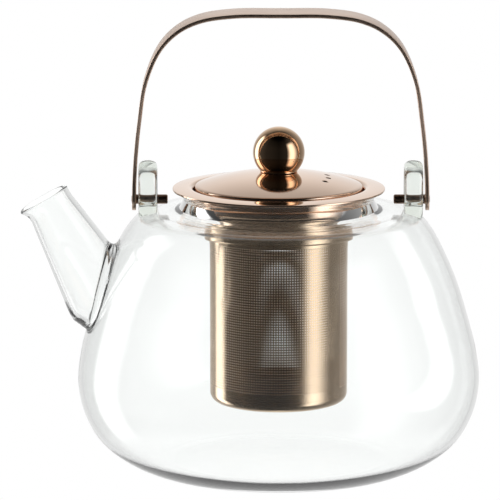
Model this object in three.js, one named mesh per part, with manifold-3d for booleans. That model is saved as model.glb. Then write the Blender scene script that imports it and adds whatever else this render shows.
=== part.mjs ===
// A glass teapot with its tea infuser: a blown pot with spout and two loops, a bail handle on two
// pins, a plated steel infuser basket hung in the neck, and a domed lid with a ball knob.
// Millimetres, +Z up. The origin is the centre of the pot's flat foot, and the spout points to -X.

import * as THREE from 'three';
import { mergeVertices } from 'three/addons/utils/BufferGeometryUtils.js';
import Module from 'manifold-3d';

const wasm = await Module();
wasm.setup();

// ---- driving dimensions ----

const GAP = 0.3; // clearance left between pieces that touch

// Outside of the blown pot, as radius and height, from the foot up to the lip of the neck.
const FOOT_RADIUS = 46;
const POT_OUTLINE = [
  [FOOT_RADIUS, 0], [56, 1.6], [67.5, 6.8], [76.6, 14.5], [82.4, 25], [84.8, 37], [83.6, 50],
  [80, 64.5], [75.4, 79.5], [69.7, 93], [64.2, 103], [59, 108.3], [52, 110.3], [45, 110.9],
  [41, 112.2], [40.1, 114.6], [40.9, 117.2], [42.4, 118.9],
];
const POT_WALL = 2;
const FOOT_WALL = 2.6;
const LIP_WIDTH = 2.6;

// The spout is a cone whose axis leans away from the pot.
const SPOUT_APEX = [-130.9, 173.4]; // x and z of the point where its sides would meet
const SPOUT_LEAN = 29.7; // degrees from upright
const SPOUT_HALF_ANGLE = 8.05; // degrees
const SPOUT_WALL = 2;
const MOUTH_FROM_APEX = 66;
const ROOT_FROM_APEX = 132;
const LIP_LENGTH = 4.5;
const LIP_FLARE = 1.1;
const LIP_ROUND = 0.7;
const LIP_THROW = 1.7; // how far the pouring lip leans outwards

// Flange and recessed cup of the infuser, pressed from one sheet.
const FLANGE_TOP = 120.6;
const FLANGE_RADIUS = 44.7;
const FLANGE_DROP = 0.6; // fall from the inside edge to the outside edge
const SHEET = 0.8;
const PRESS_ROUND = 1; // corner where the flange turns down into the cup
const CUP_RADIUS = 36.7;
const LEDGE_TOP = 111.2;
const CUP_CORNER = 2.4;
const LEDGE_HOLE = 31.5;

// Basket under the cup.
const NECK_RADIUS = 30.8;
const NECK_BOTTOM = 100.8;
const NECK_BEVEL = 0.6;
const NECK_CLEARANCE = 0.4; // between the neck ring and the tube inside it
const BASKET_RADIUS = 29;
const BASKET_WALL = 0.5;
const BASKET_BOTTOM = 28.8;
const BASKET_CORNER = 4;
const BASKET_JOIN = 33.3; // where the tube meets the bottom cap

// Lid.
const LID_RADIUS = 35.2;
const LID_EDGE = 121.1;
const LID_RISE = 6;
const LID_HEM = 1.6;
const HEM_ROUND = 0.5;
const SKIRT_RADIUS = 33.6;
const VENT_RADIUS = 1.15;
const VENTS = [[22.6, -31], [21.4, -13], [20.4, 5]]; // distance from the axis, and degrees
const KNOB_RADIUS = 10.9;
const KNOB_CENTRE = 135.05;
const SCREW_RADIUS = 2;
const SCREW_HEAD_RADIUS = 3.6;
const SCREW_HEAD_HEIGHT = 2.2;
const SCREW_TOP = 131;
const SCREW_CHAMFER = 0.8;
const DRILL_POINT = 1;
const WASHER_RADIUS = 5;
const WASHER_THICKNESS = 0.8;

// Glass loops that carry the handle.
const HANDLE_OFFSET = 0.8; // the two loops and the handle stand this far to the right of the axis
const LUG_MIDDLE = 55.8; // half the distance between the loops' middles
const LUG_THICKNESS = 7.8;
const LUG_WIDTH = 17;
const LUG_TOP = 131.6;
const LUG_ROOT = 100; // below the pot's shoulder, where the loop is cut off by the pot
const LUG_HOLE_WIDTH = 8;
const LUG_HOLE_TOP = 126.7;
const LUG_HOLE_BOTTOM = 112.6;
const LUG_ROUNDING = 2.2;

// Bail handle, a bent strap that narrows towards its two pins.
const PIN_AXIS = 115.1; // height of the hinge axis
const PIN_RADIUS = 2;
const PIN_TENON_RADIUS = 1.25;
const PIN_INNER_END = 47.5;
const PIN_BEVEL = 0.7;
const STRAP_THICKNESS = 1.6;
const STRAP_OUTLINE = [
  [62.5, 110], [62.3, 122], [61.6, 134], [60.1, 148], [57.2, 166], [51, 180.2], [43.2, 188],
  [33.8, 192.4], [20, 194.5], [0, 194.7],
];
const STRAP_TOP_WIDTH = 21;
const STRAP_END_WIDTH = 9.4;
const STRAP_WIDE_FROM = 176; // height above which the strap has its full width
const STRAP_NARROW_BELOW = 121;

// Facets.
const POT_SIDES = 36;
const POT_STEPS = 20;
const SPOUT_SIDES = 24;
const STEEL_SIDES = 32;
const KNOB_SIDES = 20;
const SMALL_SIDES = 16;

// ---- materials ----

function material(color, roughness, metalness) {
  return new THREE.MeshStandardMaterial({ color, roughness, metalness });
}

const glass = material(0xe9efee, 0.05, 0);
glass.transparent = true;
glass.opacity = 0.35;
const polishedCopper = material(0xd9b49c, 0.12, 1);
const satinBronze = material(0x9b7f66, 0.35, 1);
const satinCopper = material(0xa88775, 0.4, 1);
const darkPin = material(0x4c3a30, 0.35, 1);
const plainSteel = material(0xb4b4b2, 0.3, 1);

// ---- solids ----

// One closed body: shared vertices merged, slivers dropped and faces turned outwards.
function closedGeometry(source) {
  let geometry = source.clone();
  geometry.deleteAttribute('normal');
  geometry.deleteAttribute('uv');
  geometry = mergeVertices(geometry, 1e-4);
  const index = geometry.index.array;
  const corner = (i) => new THREE.Vector3().fromBufferAttribute(geometry.attributes.position, i);
  const kept = [];
  let volume = 0;
  for (let i = 0; i < index.length; i += 3) {
    const [a, b, c] = [index[i], index[i + 1], index[i + 2]];
    if (a === b || b === c || c === a) {
      continue;
    }
    kept.push(a, b, c);
    volume += corner(a).dot(corner(b).cross(corner(c)));
  }
  if (volume < 0) {
    kept.reverse();
  }
  geometry.setIndex(kept);
  return geometry;
}

function toSolid(source) {
  const geometry = closedGeometry(source);
  return new wasm.Manifold(new wasm.Mesh({
    numProp: 3,
    vertProperties: new Float32Array(geometry.attributes.position.array),
    triVerts: new Uint32Array(geometry.index.array),
  }));
}

function toGeometry(solid) {
  const mesh = solid.getMesh();
  const geometry = new THREE.BufferGeometry();
  geometry.setAttribute('position', new THREE.BufferAttribute(mesh.vertProperties, 3));
  geometry.setIndex(new THREE.BufferAttribute(mesh.triVerts, 1));
  return geometry;
}

// Turns an outline of [radius, height] points about the Z axis.
function revolve(outline, sides) {
  const points = outline.map(([radius, height]) => new THREE.Vector2(radius, height));
  return new THREE.LatheGeometry(points, sides).rotateX(Math.PI / 2);
}

// A ring whose section is the outline, closed on itself.
function revolveRing(outline, sides) {
  return revolve([...outline, outline[0]], sides);
}

// Smooth line through [x, y] points, as a list of `count` + 1 points.
function smoothLine(points, count) {
  const curve = new THREE.CatmullRomCurve3(
    points.map(([x, y]) => new THREE.Vector3(x, y, 0)), false, 'centripetal');
  return curve.getPoints(count).map((p) => [p.x, p.y]);
}

// The same line moved sideways, to its left for a positive distance.
function offsetLine(line, distance) {
  return line.map(([x, y], i) => {
    const before = line[Math.max(i - 1, 0)];
    const after = line[Math.min(i + 1, line.length - 1)];
    const [dx, dy] = [after[0] - before[0], after[1] - before[1]];
    const length = Math.hypot(dx, dy);
    return [x - (dy / length) * distance, y + (dx / length) * distance];
  });
}

function arc(centreX, centreY, radius, fromDegrees, toDegrees, steps) {
  return Array.from({ length: steps + 1 }, (_, i) => {
    const angle = THREE.MathUtils.degToRad(fromDegrees + ((toDegrees - fromDegrees) * i) / steps);
    return [centreX + radius * Math.cos(angle), centreY + radius * Math.sin(angle)];
  });
}

function shapeFrom(outline) {
  return new THREE.Shape(outline.map(([x, y]) => new THREE.Vector2(x, y)));
}

function addPart(name, geometry, finish) {
  const mesh = new THREE.Mesh(closedGeometry(geometry), finish);
  mesh.name = name;
  teapot.add(mesh);
}

const teapot = new THREE.Group();

// ---- glass ----

const spoutTan = Math.tan(THREE.MathUtils.degToRad(SPOUT_HALF_ANGLE));

// Puts a shape built about +Z, with the cone's apex at its origin and the cone below it, in place.
function placeOnSpout(geometry) {
  geometry.rotateY(THREE.MathUtils.degToRad(-SPOUT_LEAN));
  return geometry.translate(SPOUT_APEX[0], 0, SPOUT_APEX[1]);
}

// Solid cone of the spout's bore, from above the mouth down into the pot.
function spoutBore() {
  const [top, bottom] = [MOUTH_FROM_APEX - 8, ROOT_FROM_APEX];
  const slant = SPOUT_WALL / Math.cos(THREE.MathUtils.degToRad(SPOUT_HALF_ANGLE));
  return toSolid(placeOnSpout(revolve([
    [0, -bottom], [bottom * spoutTan - slant, -bottom], [top * spoutTan - slant, -top], [0, -top],
  ], SPOUT_SIDES)));
}

// Everything inside the pot's outer surface, grown by a distance.
function potBlock(grow) {
  const outside = offsetLine(smoothLine(POT_OUTLINE, POT_STEPS), -grow);
  return toSolid(revolve([[0, -grow], ...outside, [0, outside.at(-1)[1]]], POT_SIDES));
}

function glassBody() {
  const outside = smoothLine(POT_OUTLINE, POT_STEPS);
  const inside = offsetLine(outside, POT_WALL).slice(2, -1).reverse();
  const lipInside = [POT_OUTLINE.at(-1)[0] - LIP_WIDTH, POT_OUTLINE.at(-1)[1]];
  const floor = [[FOOT_RADIUS, FOOT_WALL], [0, FOOT_WALL]];
  const shell = toSolid(revolve([[0, 0], ...outside, lipInside, ...inside, ...floor], POT_SIDES));
  return toGeometry(shell.subtract(spoutBore()));
}

function glassSpout() {
  const wall = SPOUT_WALL;
  const radiusAt = (distance) => distance * spoutTan;
  const [mouth, neck, root] = [MOUTH_FROM_APEX, MOUTH_FROM_APEX + LIP_LENGTH, ROOT_FROM_APEX];
  const half = LIP_LENGTH / 2;
  const outline = [
    [radiusAt(root), -root],
    [radiusAt(neck), -neck],
    [radiusAt(neck), -(neck - half)],
    [radiusAt(mouth) + LIP_FLARE, -(mouth + LIP_ROUND)],
    [radiusAt(mouth) + LIP_FLARE - LIP_ROUND, -mouth],
    [radiusAt(mouth) + LIP_FLARE - wall, -(mouth + LIP_ROUND / 2)],
    [radiusAt(neck) - wall, -(neck - half)],
    [radiusAt(neck) - wall, -neck],
    [radiusAt(root) - wall, -root],
  ];
  const cone = revolveRing(outline, SPOUT_SIDES);
  // The pouring side of the lip leans outwards, more and more towards the mouth.
  const position = cone.attributes.position;
  for (let i = 0; i < position.count; i += 1) {
    const reach = THREE.MathUtils.clamp((position.getZ(i) + neck) / LIP_LENGTH, 0, 1);
    const side = THREE.MathUtils.clamp(-position.getX(i) / radiusAt(neck), 0, 1);
    position.setX(i, position.getX(i) - LIP_THROW * reach * reach * side);
  }
  return toGeometry(toSolid(placeOnSpout(cone)).subtract(potBlock(GAP)));
}

function glassLug(side) {
  const edge = LUG_WIDTH / 2 - LUG_ROUNDING;
  const top = LUG_TOP - LUG_ROUNDING;
  const outline = [[-edge, LUG_ROOT], [edge, LUG_ROOT], ...arc(0, top - edge, edge, 0, 180, 12)];
  const shape = shapeFrom(outline);
  const reach = LUG_HOLE_WIDTH / 2 + LUG_ROUNDING;
  const hole = [
    ...arc(0, LUG_HOLE_TOP + LUG_ROUNDING - reach, reach, 0, 180, 10),
    ...arc(0, LUG_HOLE_BOTTOM - LUG_ROUNDING + reach, reach, 180, 360, 10),
  ];
  shape.holes.push(new THREE.Path(hole.map(([x, y]) => new THREE.Vector2(x, y))));
  const loop = new THREE.ExtrudeGeometry(shape, {
    depth: LUG_THICKNESS - 2 * LUG_ROUNDING,
    bevelThickness: LUG_ROUNDING,
    bevelSize: LUG_ROUNDING,
    bevelSegments: 2,
    curveSegments: 1,
  });
  loop.translate(0, 0, LUG_ROUNDING - LUG_THICKNESS / 2);
  loop.rotateX(Math.PI / 2);
  loop.rotateZ(Math.PI / 2);
  loop.translate(side * LUG_MIDDLE + HANDLE_OFFSET, 0, 0);
  return toGeometry(toSolid(loop).subtract(potBlock(GAP)));
}

addPart('glass_body', glassBody(), glass);
addPart('glass_spout', glassSpout(), glass);
addPart('glass_lug_left', glassLug(-1), glass);
addPart('glass_lug_right', glassLug(1), glass);

// ---- infuser ----

function infuserRim() {
  const inner = CUP_RADIUS - SHEET;
  const flangeOuter = FLANGE_TOP - FLANGE_DROP;
  const ledgeBottom = LEDGE_TOP - SHEET;
  return revolveRing([
    [LEDGE_HOLE, ledgeBottom],
    ...arc(CUP_RADIUS - CUP_CORNER, ledgeBottom + CUP_CORNER, CUP_CORNER, -90, 0, 4),
    [CUP_RADIUS, FLANGE_TOP - SHEET - PRESS_ROUND],
    [CUP_RADIUS + PRESS_ROUND, FLANGE_TOP - SHEET],
    [FLANGE_RADIUS, flangeOuter - SHEET],
    [FLANGE_RADIUS, flangeOuter],
    [inner + PRESS_ROUND, FLANGE_TOP],
    [inner, FLANGE_TOP - PRESS_ROUND],
    ...arc(CUP_RADIUS - CUP_CORNER, ledgeBottom + CUP_CORNER, CUP_CORNER - SHEET, 0, -90, 3),
    [LEDGE_HOLE, LEDGE_TOP],
  ], STEEL_SIDES);
}

function neckRing() {
  return revolveRing([
    [NECK_RADIUS - NECK_BEVEL, NECK_BOTTOM],
    [NECK_RADIUS, NECK_BOTTOM + NECK_BEVEL],
    [NECK_RADIUS, LEDGE_TOP],
    [BASKET_RADIUS + NECK_CLEARANCE, LEDGE_TOP],
    [BASKET_RADIUS + NECK_CLEARANCE, NECK_BOTTOM],
  ], STEEL_SIDES);
}

function perforatedTube() {
  return revolveRing([
    [BASKET_RADIUS, BASKET_JOIN],
    [BASKET_RADIUS, LEDGE_TOP],
    [BASKET_RADIUS - BASKET_WALL, LEDGE_TOP],
    [BASKET_RADIUS - BASKET_WALL, BASKET_JOIN],
  ], STEEL_SIDES);
}

function basketBottom() {
  const turn = BASKET_RADIUS - BASKET_CORNER;
  const centre = BASKET_BOTTOM + BASKET_CORNER;
  return revolve([
    [0, BASKET_BOTTOM],
    ...arc(turn, centre, BASKET_CORNER, -90, 0, 5),
    [BASKET_RADIUS, BASKET_JOIN - GAP],
    [BASKET_RADIUS - BASKET_WALL, BASKET_JOIN - GAP],
    ...arc(turn, centre, BASKET_CORNER - BASKET_WALL, 0, -90, 4),
    [0, BASKET_BOTTOM + BASKET_WALL],
  ], STEEL_SIDES);
}

addPart('infuser_rim', infuserRim(), polishedCopper);
addPart('neck_ring', neckRing(), satinBronze);
addPart('perforated_tube', perforatedTube(), satinBronze);
addPart('basket_bottom', basketBottom(), satinBronze);

// ---- lid ----

const domeRadius = (LID_RADIUS ** 2 + LID_RISE ** 2) / (2 * LID_RISE);
const domeCentre = LID_EDGE + LID_RISE - domeRadius;

// Height of the dome's top surface, lowered by a depth, at a distance from the axis.
function domeHeight(radius, depth) {
  return domeCentre + Math.sqrt((domeRadius - depth) ** 2 - radius ** 2);
}

function domeLine(fromRadius, toRadius, depth, steps) {
  return Array.from({ length: steps + 1 }, (_, i) => {
    const radius = fromRadius + ((toRadius - fromRadius) * i) / steps;
    return [radius, domeHeight(radius, depth)];
  });
}

function roundBar(x, y, radius, bottom, top, sides) {
  const bar = new THREE.CylinderGeometry(radius, radius, top - bottom, sides);
  bar.rotateX(Math.PI / 2);
  return toSolid(bar.translate(x, y, (top + bottom) / 2));
}

function lidDome() {
  const screwHole = SCREW_RADIUS + GAP;
  const dome = toSolid(revolveRing([
    ...domeLine(screwHole, LID_RADIUS - HEM_ROUND, 0, 6),
    [LID_RADIUS, LID_EDGE - HEM_ROUND],
    [LID_RADIUS, LID_EDGE - LID_HEM],
    [LID_RADIUS - SHEET, LID_EDGE - LID_HEM],
    ...domeLine(screwHole, LID_RADIUS - SHEET, SHEET, 4).reverse(),
  ], STEEL_SIDES));
  const vents = VENTS.map(([distance, degrees]) => {
    const angle = THREE.MathUtils.degToRad(degrees);
    const [x, y] = [distance * Math.cos(angle), distance * Math.sin(angle)];
    return roundBar(x, y, VENT_RADIUS, LID_EDGE, KNOB_CENTRE, 8);
  });
  return toGeometry(vents.reduce((solid, vent) => solid.subtract(vent), dome));
}

function lidSkirt() {
  const inner = SKIRT_RADIUS - SHEET;
  const bottom = LEDGE_TOP + GAP;
  return revolveRing([
    [SKIRT_RADIUS, bottom],
    [SKIRT_RADIUS, domeHeight(SKIRT_RADIUS, SHEET) - GAP],
    [inner, domeHeight(inner, SHEET) - GAP],
    [inner, bottom],
  ], STEEL_SIDES);
}

const knobFoot = LID_EDGE + LID_RISE + GAP;

function knobBall() {
  const threadHole = SCREW_RADIUS + GAP;
  const footAngle = THREE.MathUtils.radToDeg(Math.asin((knobFoot - KNOB_CENTRE) / KNOB_RADIUS));
  return revolve([
    [0, SCREW_TOP + DRILL_POINT],
    [threadHole, SCREW_TOP],
    [threadHole, knobFoot],
    ...arc(0, KNOB_CENTRE, KNOB_RADIUS, footAngle, 90, 9).slice(0, -1),
    [0, KNOB_CENTRE + KNOB_RADIUS],
  ], KNOB_SIDES);
}

const washerTop = domeHeight(WASHER_RADIUS, SHEET) - GAP;
const washerBottom = washerTop - WASHER_THICKNESS;

function knobWasher() {
  const hole = SCREW_RADIUS + GAP;
  return revolveRing([
    [hole, washerBottom], [WASHER_RADIUS, washerBottom], [WASHER_RADIUS, washerTop], [hole, washerTop],
  ], SMALL_SIDES);
}

function knobScrew() {
  const headTop = washerBottom - GAP;
  const headBottom = headTop - SCREW_HEAD_HEIGHT;
  return revolve([
    [0, headBottom],
    [SCREW_HEAD_RADIUS - SCREW_CHAMFER, headBottom],
    [SCREW_HEAD_RADIUS, headBottom + SCREW_CHAMFER],
    [SCREW_HEAD_RADIUS, headTop],
    [SCREW_RADIUS, headTop],
    [SCREW_RADIUS, SCREW_TOP - SCREW_CHAMFER],
    [0, SCREW_TOP],
  ], SMALL_SIDES);
}

addPart('lid_dome', lidDome(), polishedCopper);
addPart('lid_skirt', lidSkirt(), plainSteel);
addPart('knob_ball', knobBall(), polishedCopper);
addPart('knob_washer', knobWasher(), plainSteel);
addPart('knob_screw', knobScrew(), plainSteel);

// ---- bail handle ----

const strapReach = STRAP_OUTLINE[0][0];

// A bar along X between two distances from the axis, on one side of the pot.
function crossBar(side, radius, from, to) {
  const bar = new THREE.CylinderGeometry(radius, radius, to - from, SMALL_SIDES);
  bar.rotateZ(Math.PI / 2);
  return bar.translate((side * (from + to)) / 2, 0, PIN_AXIS);
}

function handleStrap() {
  const half = smoothLine(STRAP_OUTLINE, 24);
  const outer = [...half, ...half.slice(0, -1).reverse().map(([x, z]) => [-x, z])];
  const inner = offsetLine(outer, STRAP_THICKNESS).reverse();
  const bent = new THREE.ExtrudeGeometry(shapeFrom([...outer, ...inner]), {
    depth: STRAP_TOP_WIDTH, bevelEnabled: false, curveSegments: 1,
  });
  bent.translate(0, 0, -STRAP_TOP_WIDTH / 2);
  bent.rotateX(Math.PI / 2);

  // Side view of the strap: full width on top, narrow arms, round ends about the pins.
  // Above the taper it is wider and taller than the strap, so it trims nothing there.
  const spare = 1;
  const [wide, narrow] = [STRAP_TOP_WIDTH / 2 + spare, STRAP_END_WIDTH / 2];
  const steps = 6;
  const edge = Array.from({ length: steps + 1 }, (_, i) => {
    const t = i / steps;
    const ease = t * t * (3 - 2 * t);
    const height = STRAP_NARROW_BELOW + (STRAP_WIDE_FROM - STRAP_NARROW_BELOW) * t;
    return [narrow + (wide - narrow) * ease, height];
  });
  const top = [wide, STRAP_OUTLINE.at(-1)[1] + spare];
  const side = [
    ...arc(0, PIN_AXIS, narrow, -90, 0, 6), ...edge, top,
    ...[...edge, top].reverse().map(([y, z]) => [-y, z]),
    ...arc(0, PIN_AXIS, narrow, 180, 270, 6).slice(0, -1),
  ];
  const taper = new THREE.ExtrudeGeometry(shapeFrom(side), {
    depth: 2 * (strapReach + spare), bevelEnabled: false, curveSegments: 1,
  });
  taper.translate(0, 0, -strapReach - spare);
  taper.rotateX(Math.PI / 2);
  taper.rotateZ(Math.PI / 2);

  const hole = PIN_TENON_RADIUS + GAP;
  const holes = [-1, 1].map((at) => toSolid(crossBar(at, hole, LUG_MIDDLE, strapReach + spare)));
  const strap = toSolid(bent).intersect(toSolid(taper));
  return toGeometry(holes.reduce((solid, bar) => solid.subtract(bar), strap));
}

function hingePin(side) {
  const shoulder = strapReach - STRAP_THICKNESS - GAP;
  const pin = revolve([
    [0, PIN_INNER_END],
    [PIN_RADIUS - PIN_BEVEL, PIN_INNER_END],
    [PIN_RADIUS, PIN_INNER_END + PIN_BEVEL],
    [PIN_RADIUS, shoulder],
    [PIN_TENON_RADIUS, shoulder],
    [PIN_TENON_RADIUS, strapReach],
    [0, strapReach],
  ], SMALL_SIDES);
  pin.rotateY((side * Math.PI) / 2);
  return pin.translate(0, 0, PIN_AXIS);
}

addPart('handle_strap', handleStrap().translate(HANDLE_OFFSET, 0, 0), satinCopper);
addPart('hinge_pin_left', hingePin(-1).translate(HANDLE_OFFSET, 0, 0), darkPin);
addPart('hinge_pin_right', hingePin(1).translate(HANDLE_OFFSET, 0, 0), darkPin);

export default teapot;
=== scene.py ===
# %% [markdown]
# # A glass teapot with its tea infuser
#
# The pot is blown clear glass with a fused spout and two loops. A plated steel infuser hangs in its
# neck, a domed lid with a ball knob closes the infuser, and a strap handle swings on two pins.
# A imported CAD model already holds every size, joint and resting place. Here each piece gets the
# smooth, detailed surface and the finish that the plain solids lack.

# %% Load the frame
import math

import bpy
import bmesh
import numpy as np
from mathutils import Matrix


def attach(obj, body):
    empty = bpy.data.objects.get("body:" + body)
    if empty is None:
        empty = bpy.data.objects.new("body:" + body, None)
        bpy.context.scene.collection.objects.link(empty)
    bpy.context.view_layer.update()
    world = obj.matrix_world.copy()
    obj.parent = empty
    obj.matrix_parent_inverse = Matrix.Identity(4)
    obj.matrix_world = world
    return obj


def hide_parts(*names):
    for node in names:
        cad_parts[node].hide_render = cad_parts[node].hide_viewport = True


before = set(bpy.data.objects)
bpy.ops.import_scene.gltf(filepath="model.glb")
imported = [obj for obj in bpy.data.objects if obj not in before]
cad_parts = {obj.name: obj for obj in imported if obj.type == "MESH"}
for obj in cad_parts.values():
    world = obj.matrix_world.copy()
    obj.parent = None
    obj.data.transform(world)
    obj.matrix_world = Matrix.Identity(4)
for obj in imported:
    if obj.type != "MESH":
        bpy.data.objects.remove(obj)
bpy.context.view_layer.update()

# %% [markdown]
# ## Lines and arcs
#
# Most pieces here were spun, blown or turned, so each is an outline of (radius, height) points, in
# millimetres. A smooth stretch is a spline through a few points, and a round corner is an arc.
# Writing the outlines in millimetres keeps them readable; the meshes are scaled to metres once.

# %% Outline helpers
MM = 0.001
ON_AXIS = 1e-6  # a point nearer than this lies on the axis
TINY = 1e-9  # keeps a division by nought away


def arc(cx, cy, radius, start, end, steps):
    """Points on an arc, with its angles in degrees."""
    angles = np.radians(np.linspace(start, end, steps + 1))
    return np.column_stack([cx + radius * np.cos(angles), cy + radius * np.sin(angles)])


def smooth_line(points, count):
    """A centripetal Catmull-Rom spline through the points, as count + 1 points."""
    p = np.asarray(points, float)
    p = np.vstack([2 * p[0] - p[1], p, 2 * p[-1] - p[-2]])
    spans = len(p) - 3
    line = []
    for t in np.linspace(0, spans, count + 1):
        i = min(int(t), spans - 1)
        w = t - i
        a, b, c, d = p[i:i + 4]
        ab, bc, cd = (math.sqrt(np.linalg.norm(v)) for v in (b - a, c - b, d - c))
        m1 = ((b - a) / ab - (c - a) / (ab + bc) + (c - b) / bc) * bc
        m2 = ((c - b) / bc - (d - b) / (bc + cd) + (d - c) / cd) * bc
        line.append((2 * w**3 - 3 * w**2 + 1) * b + (w**3 - 2 * w**2 + w) * m1
                    + (3 * w**2 - 2 * w**3) * c + (w**3 - w**2) * m2)
    return np.array(line)


def offset_line(line, distance):
    """The line moved sideways, to its left for a positive distance, which may vary along it."""
    step = np.gradient(line, axis=0)
    step /= np.linalg.norm(step, axis=1)[:, None]
    return line + np.column_stack([-step[:, 1], step[:, 0]]) * np.reshape(distance, (-1, 1))


def lengths(line):
    """Distance along the line at each of its points."""
    return np.concatenate([[0], np.cumsum(np.linalg.norm(np.diff(line, axis=0), axis=1))])


def rounded(points, radius=0.15, steps=3):
    """A closed or open outline whose inner corners are cut by small quadratic curves."""
    p = np.asarray(points, float)
    out = [p[0]]
    for a, b, c in zip(p[:-2], p[1:-1], p[2:]):
        ra = min(radius, np.linalg.norm(a - b) * 0.45)
        rc = min(radius, np.linalg.norm(c - b) * 0.45)
        start = b + (a - b) / np.linalg.norm(a - b) * ra
        end = b + (c - b) / np.linalg.norm(c - b) * rc
        for t in np.linspace(0, 1, steps + 1):
            out.append((1 - t)**2 * start + 2 * t * (1 - t) * b + t**2 * end)
    out.append(p[-1])
    return np.array(out)


def ease(t):
    """Goes from 0 to 1 with level ends."""
    t = np.clip(t, 0, 1)
    return t * t * (3 - 2 * t)


print("a rounded right angle takes", len(rounded([(0, 0), (10, 0), (10, 10)])), "points")

# %% [markdown]
# ## Building meshes from rings
#
# A ring is a list of vertex numbers. Joining neighbouring rings by quads gives clean, even strips
# that shade smoothly, and it works for the pot's wall, the spout and the strap alike. Each vertex
# also stores a grain coordinate: the first two numbers run along the polishing direction and the
# third across it, so that a brushed finish can follow the metal round a bend.

# %% A small mesh builder
class Shape:
    """Vertices in millimetres, their grain coordinates, and faces."""

    def __init__(self):
        self.points = []
        self.grain = []
        self.faces = []

    def ring(self, points, grain=None):
        first = len(self.points)
        points = np.asarray(points, float)
        self.points.extend(points.tolist())
        self.grain.extend((points if grain is None else np.asarray(grain, float)).tolist())
        return list(range(first, len(self.points)))

    def join(self, a, b, closed=True):
        """A strip of quads between two rings of the same length."""
        count = len(a) if closed else len(a) - 1
        for i in range(count):
            j = (i + 1) % len(a)
            self.faces.append((a[i], a[j], b[j], b[i]))

    def loft(self, rings, closed=True):
        for a, b in zip(rings, rings[1:]):
            self.join(a, b, closed)

    def cap(self, ring, centre, grain=None):
        """A fan of triangles from a ring to one point."""
        tip = self.ring([centre], None if grain is None else [grain])[0]
        for i in range(len(ring)):
            self.faces.append((ring[i], ring[(i + 1) % len(ring)], tip))

    def build(self, name, sharp=35):
        mesh = bpy.data.meshes.new(name)
        mesh.from_pydata((np.array(self.points) * MM).tolist(), [], self.faces)
        grain = mesh.attributes.new("grain", "FLOAT_VECTOR", "POINT")
        grain.data.foreach_set("vector", np.array(self.grain, np.float32).ravel())
        work = bmesh.new()
        work.from_mesh(mesh)
        bmesh.ops.recalc_face_normals(work, faces=work.faces)
        work.to_mesh(mesh)
        work.free()
        mesh.shade_smooth()
        mesh.set_sharp_from_angle(angle=math.radians(sharp))
        piece = bpy.data.objects.new(name, mesh)
        bpy.context.scene.collection.objects.link(piece)
        return piece


def around(radius, height, columns, turn=0.0):
    """A level circle of points about the Z axis."""
    angles = np.linspace(0, 2 * np.pi, columns, endpoint=False) + turn
    return np.column_stack([radius * np.cos(angles), radius * np.sin(angles),
                            np.full(columns, height)])


# %% Turned pieces
GRAIN_RADIUS = 30  # every turned piece counts its grain on a circle of this radius


def turned_grain(points, along):
    """Grain that runs round the axis, for points at a distance along the outline."""
    points = np.asarray(points, float)
    flat = np.linalg.norm(points[:, :2], axis=1)[:, None] + TINY
    return np.column_stack([points[:, :2] / flat * GRAIN_RADIUS, np.full(len(points), along)])


def turned(name, outline, columns=144, closed=False, sharp=35):
    """Turns an outline about the Z axis. Ends on the axis become points; closed joins its ends."""
    shape = Shape()
    outline = np.asarray(outline, float)
    along = lengths(outline)
    rings = []
    tips = []
    for (radius, height), s in zip(outline, along):
        if radius < ON_AXIS:
            tips.append((len(rings), (0, 0, height), s))
            continue
        circle = around(radius, height, columns)
        rings.append(shape.ring(circle, turned_grain(circle, s)))
    shape.loft(rings)
    for at, tip, s in tips:
        shape.cap(rings[0] if at == 0 else rings[-1], tip, (0, 0, s))
    if closed:
        shape.join(rings[-1], rings[0])
    return shape.build(name, sharp)


def keep(piece, body, slot, finish, *nodes):
    """Parents a piece to its body, gives it its finish, hides the CAD parts it replaces; slot is
    unused.
    """
    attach(piece, body)
    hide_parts(*nodes)
    piece.data.materials.append(finish)
    print(f"{piece.name}: {len(piece.data.polygons)} faces on {body}")
    return piece


print("grain runs round a circle of", GRAIN_RADIUS, "mm")

# %% [markdown]
# ## The camera
#
# A long lens from two metres away, looking down by about ten degrees, keeps the pot's ellipses
# flat and its sides upright. The pot stands a little right of the middle, because the spout
# reaches out to the left.

# %% Camera
CAMERA_DISTANCE = 2.0
CAMERA_ELEVATION = math.radians(10.54)
CAMERA_ASIDE = -12.1 * MM
CAMERA_AIM_HEIGHT = 93.3 * MM
CAMERA_LENS = 341.6

CAMERA_SENSOR = 36
CAMERA_SIGHT = 50  # metres

camera_data = bpy.data.cameras.new("camera")
camera_data.lens = CAMERA_LENS
camera_data.sensor_width = CAMERA_SENSOR
camera_data.clip_end = CAMERA_SIGHT
camera = bpy.data.objects.new("camera", camera_data)
camera.location = (CAMERA_ASIDE, -CAMERA_DISTANCE * math.cos(CAMERA_ELEVATION),
                   CAMERA_AIM_HEIGHT + CAMERA_DISTANCE * math.sin(CAMERA_ELEVATION))
camera.rotation_euler = (math.pi / 2 - CAMERA_ELEVATION, 0, 0)
scene = bpy.context.scene
scene.collection.objects.link(camera)
scene.camera = camera
scene.view_settings.view_transform = "Standard"
print("camera at", [round(value, 3) for value in camera.location])

# %% [markdown]
# ## Shader arithmetic
#
# Finishes are easier to read as sums than as boxes and wires. `Wire` wraps one output socket, and
# adding or multiplying wires adds the Math nodes. `Finish` owns a material and makes every other
# node, with its settings first and then its inputs.

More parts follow.
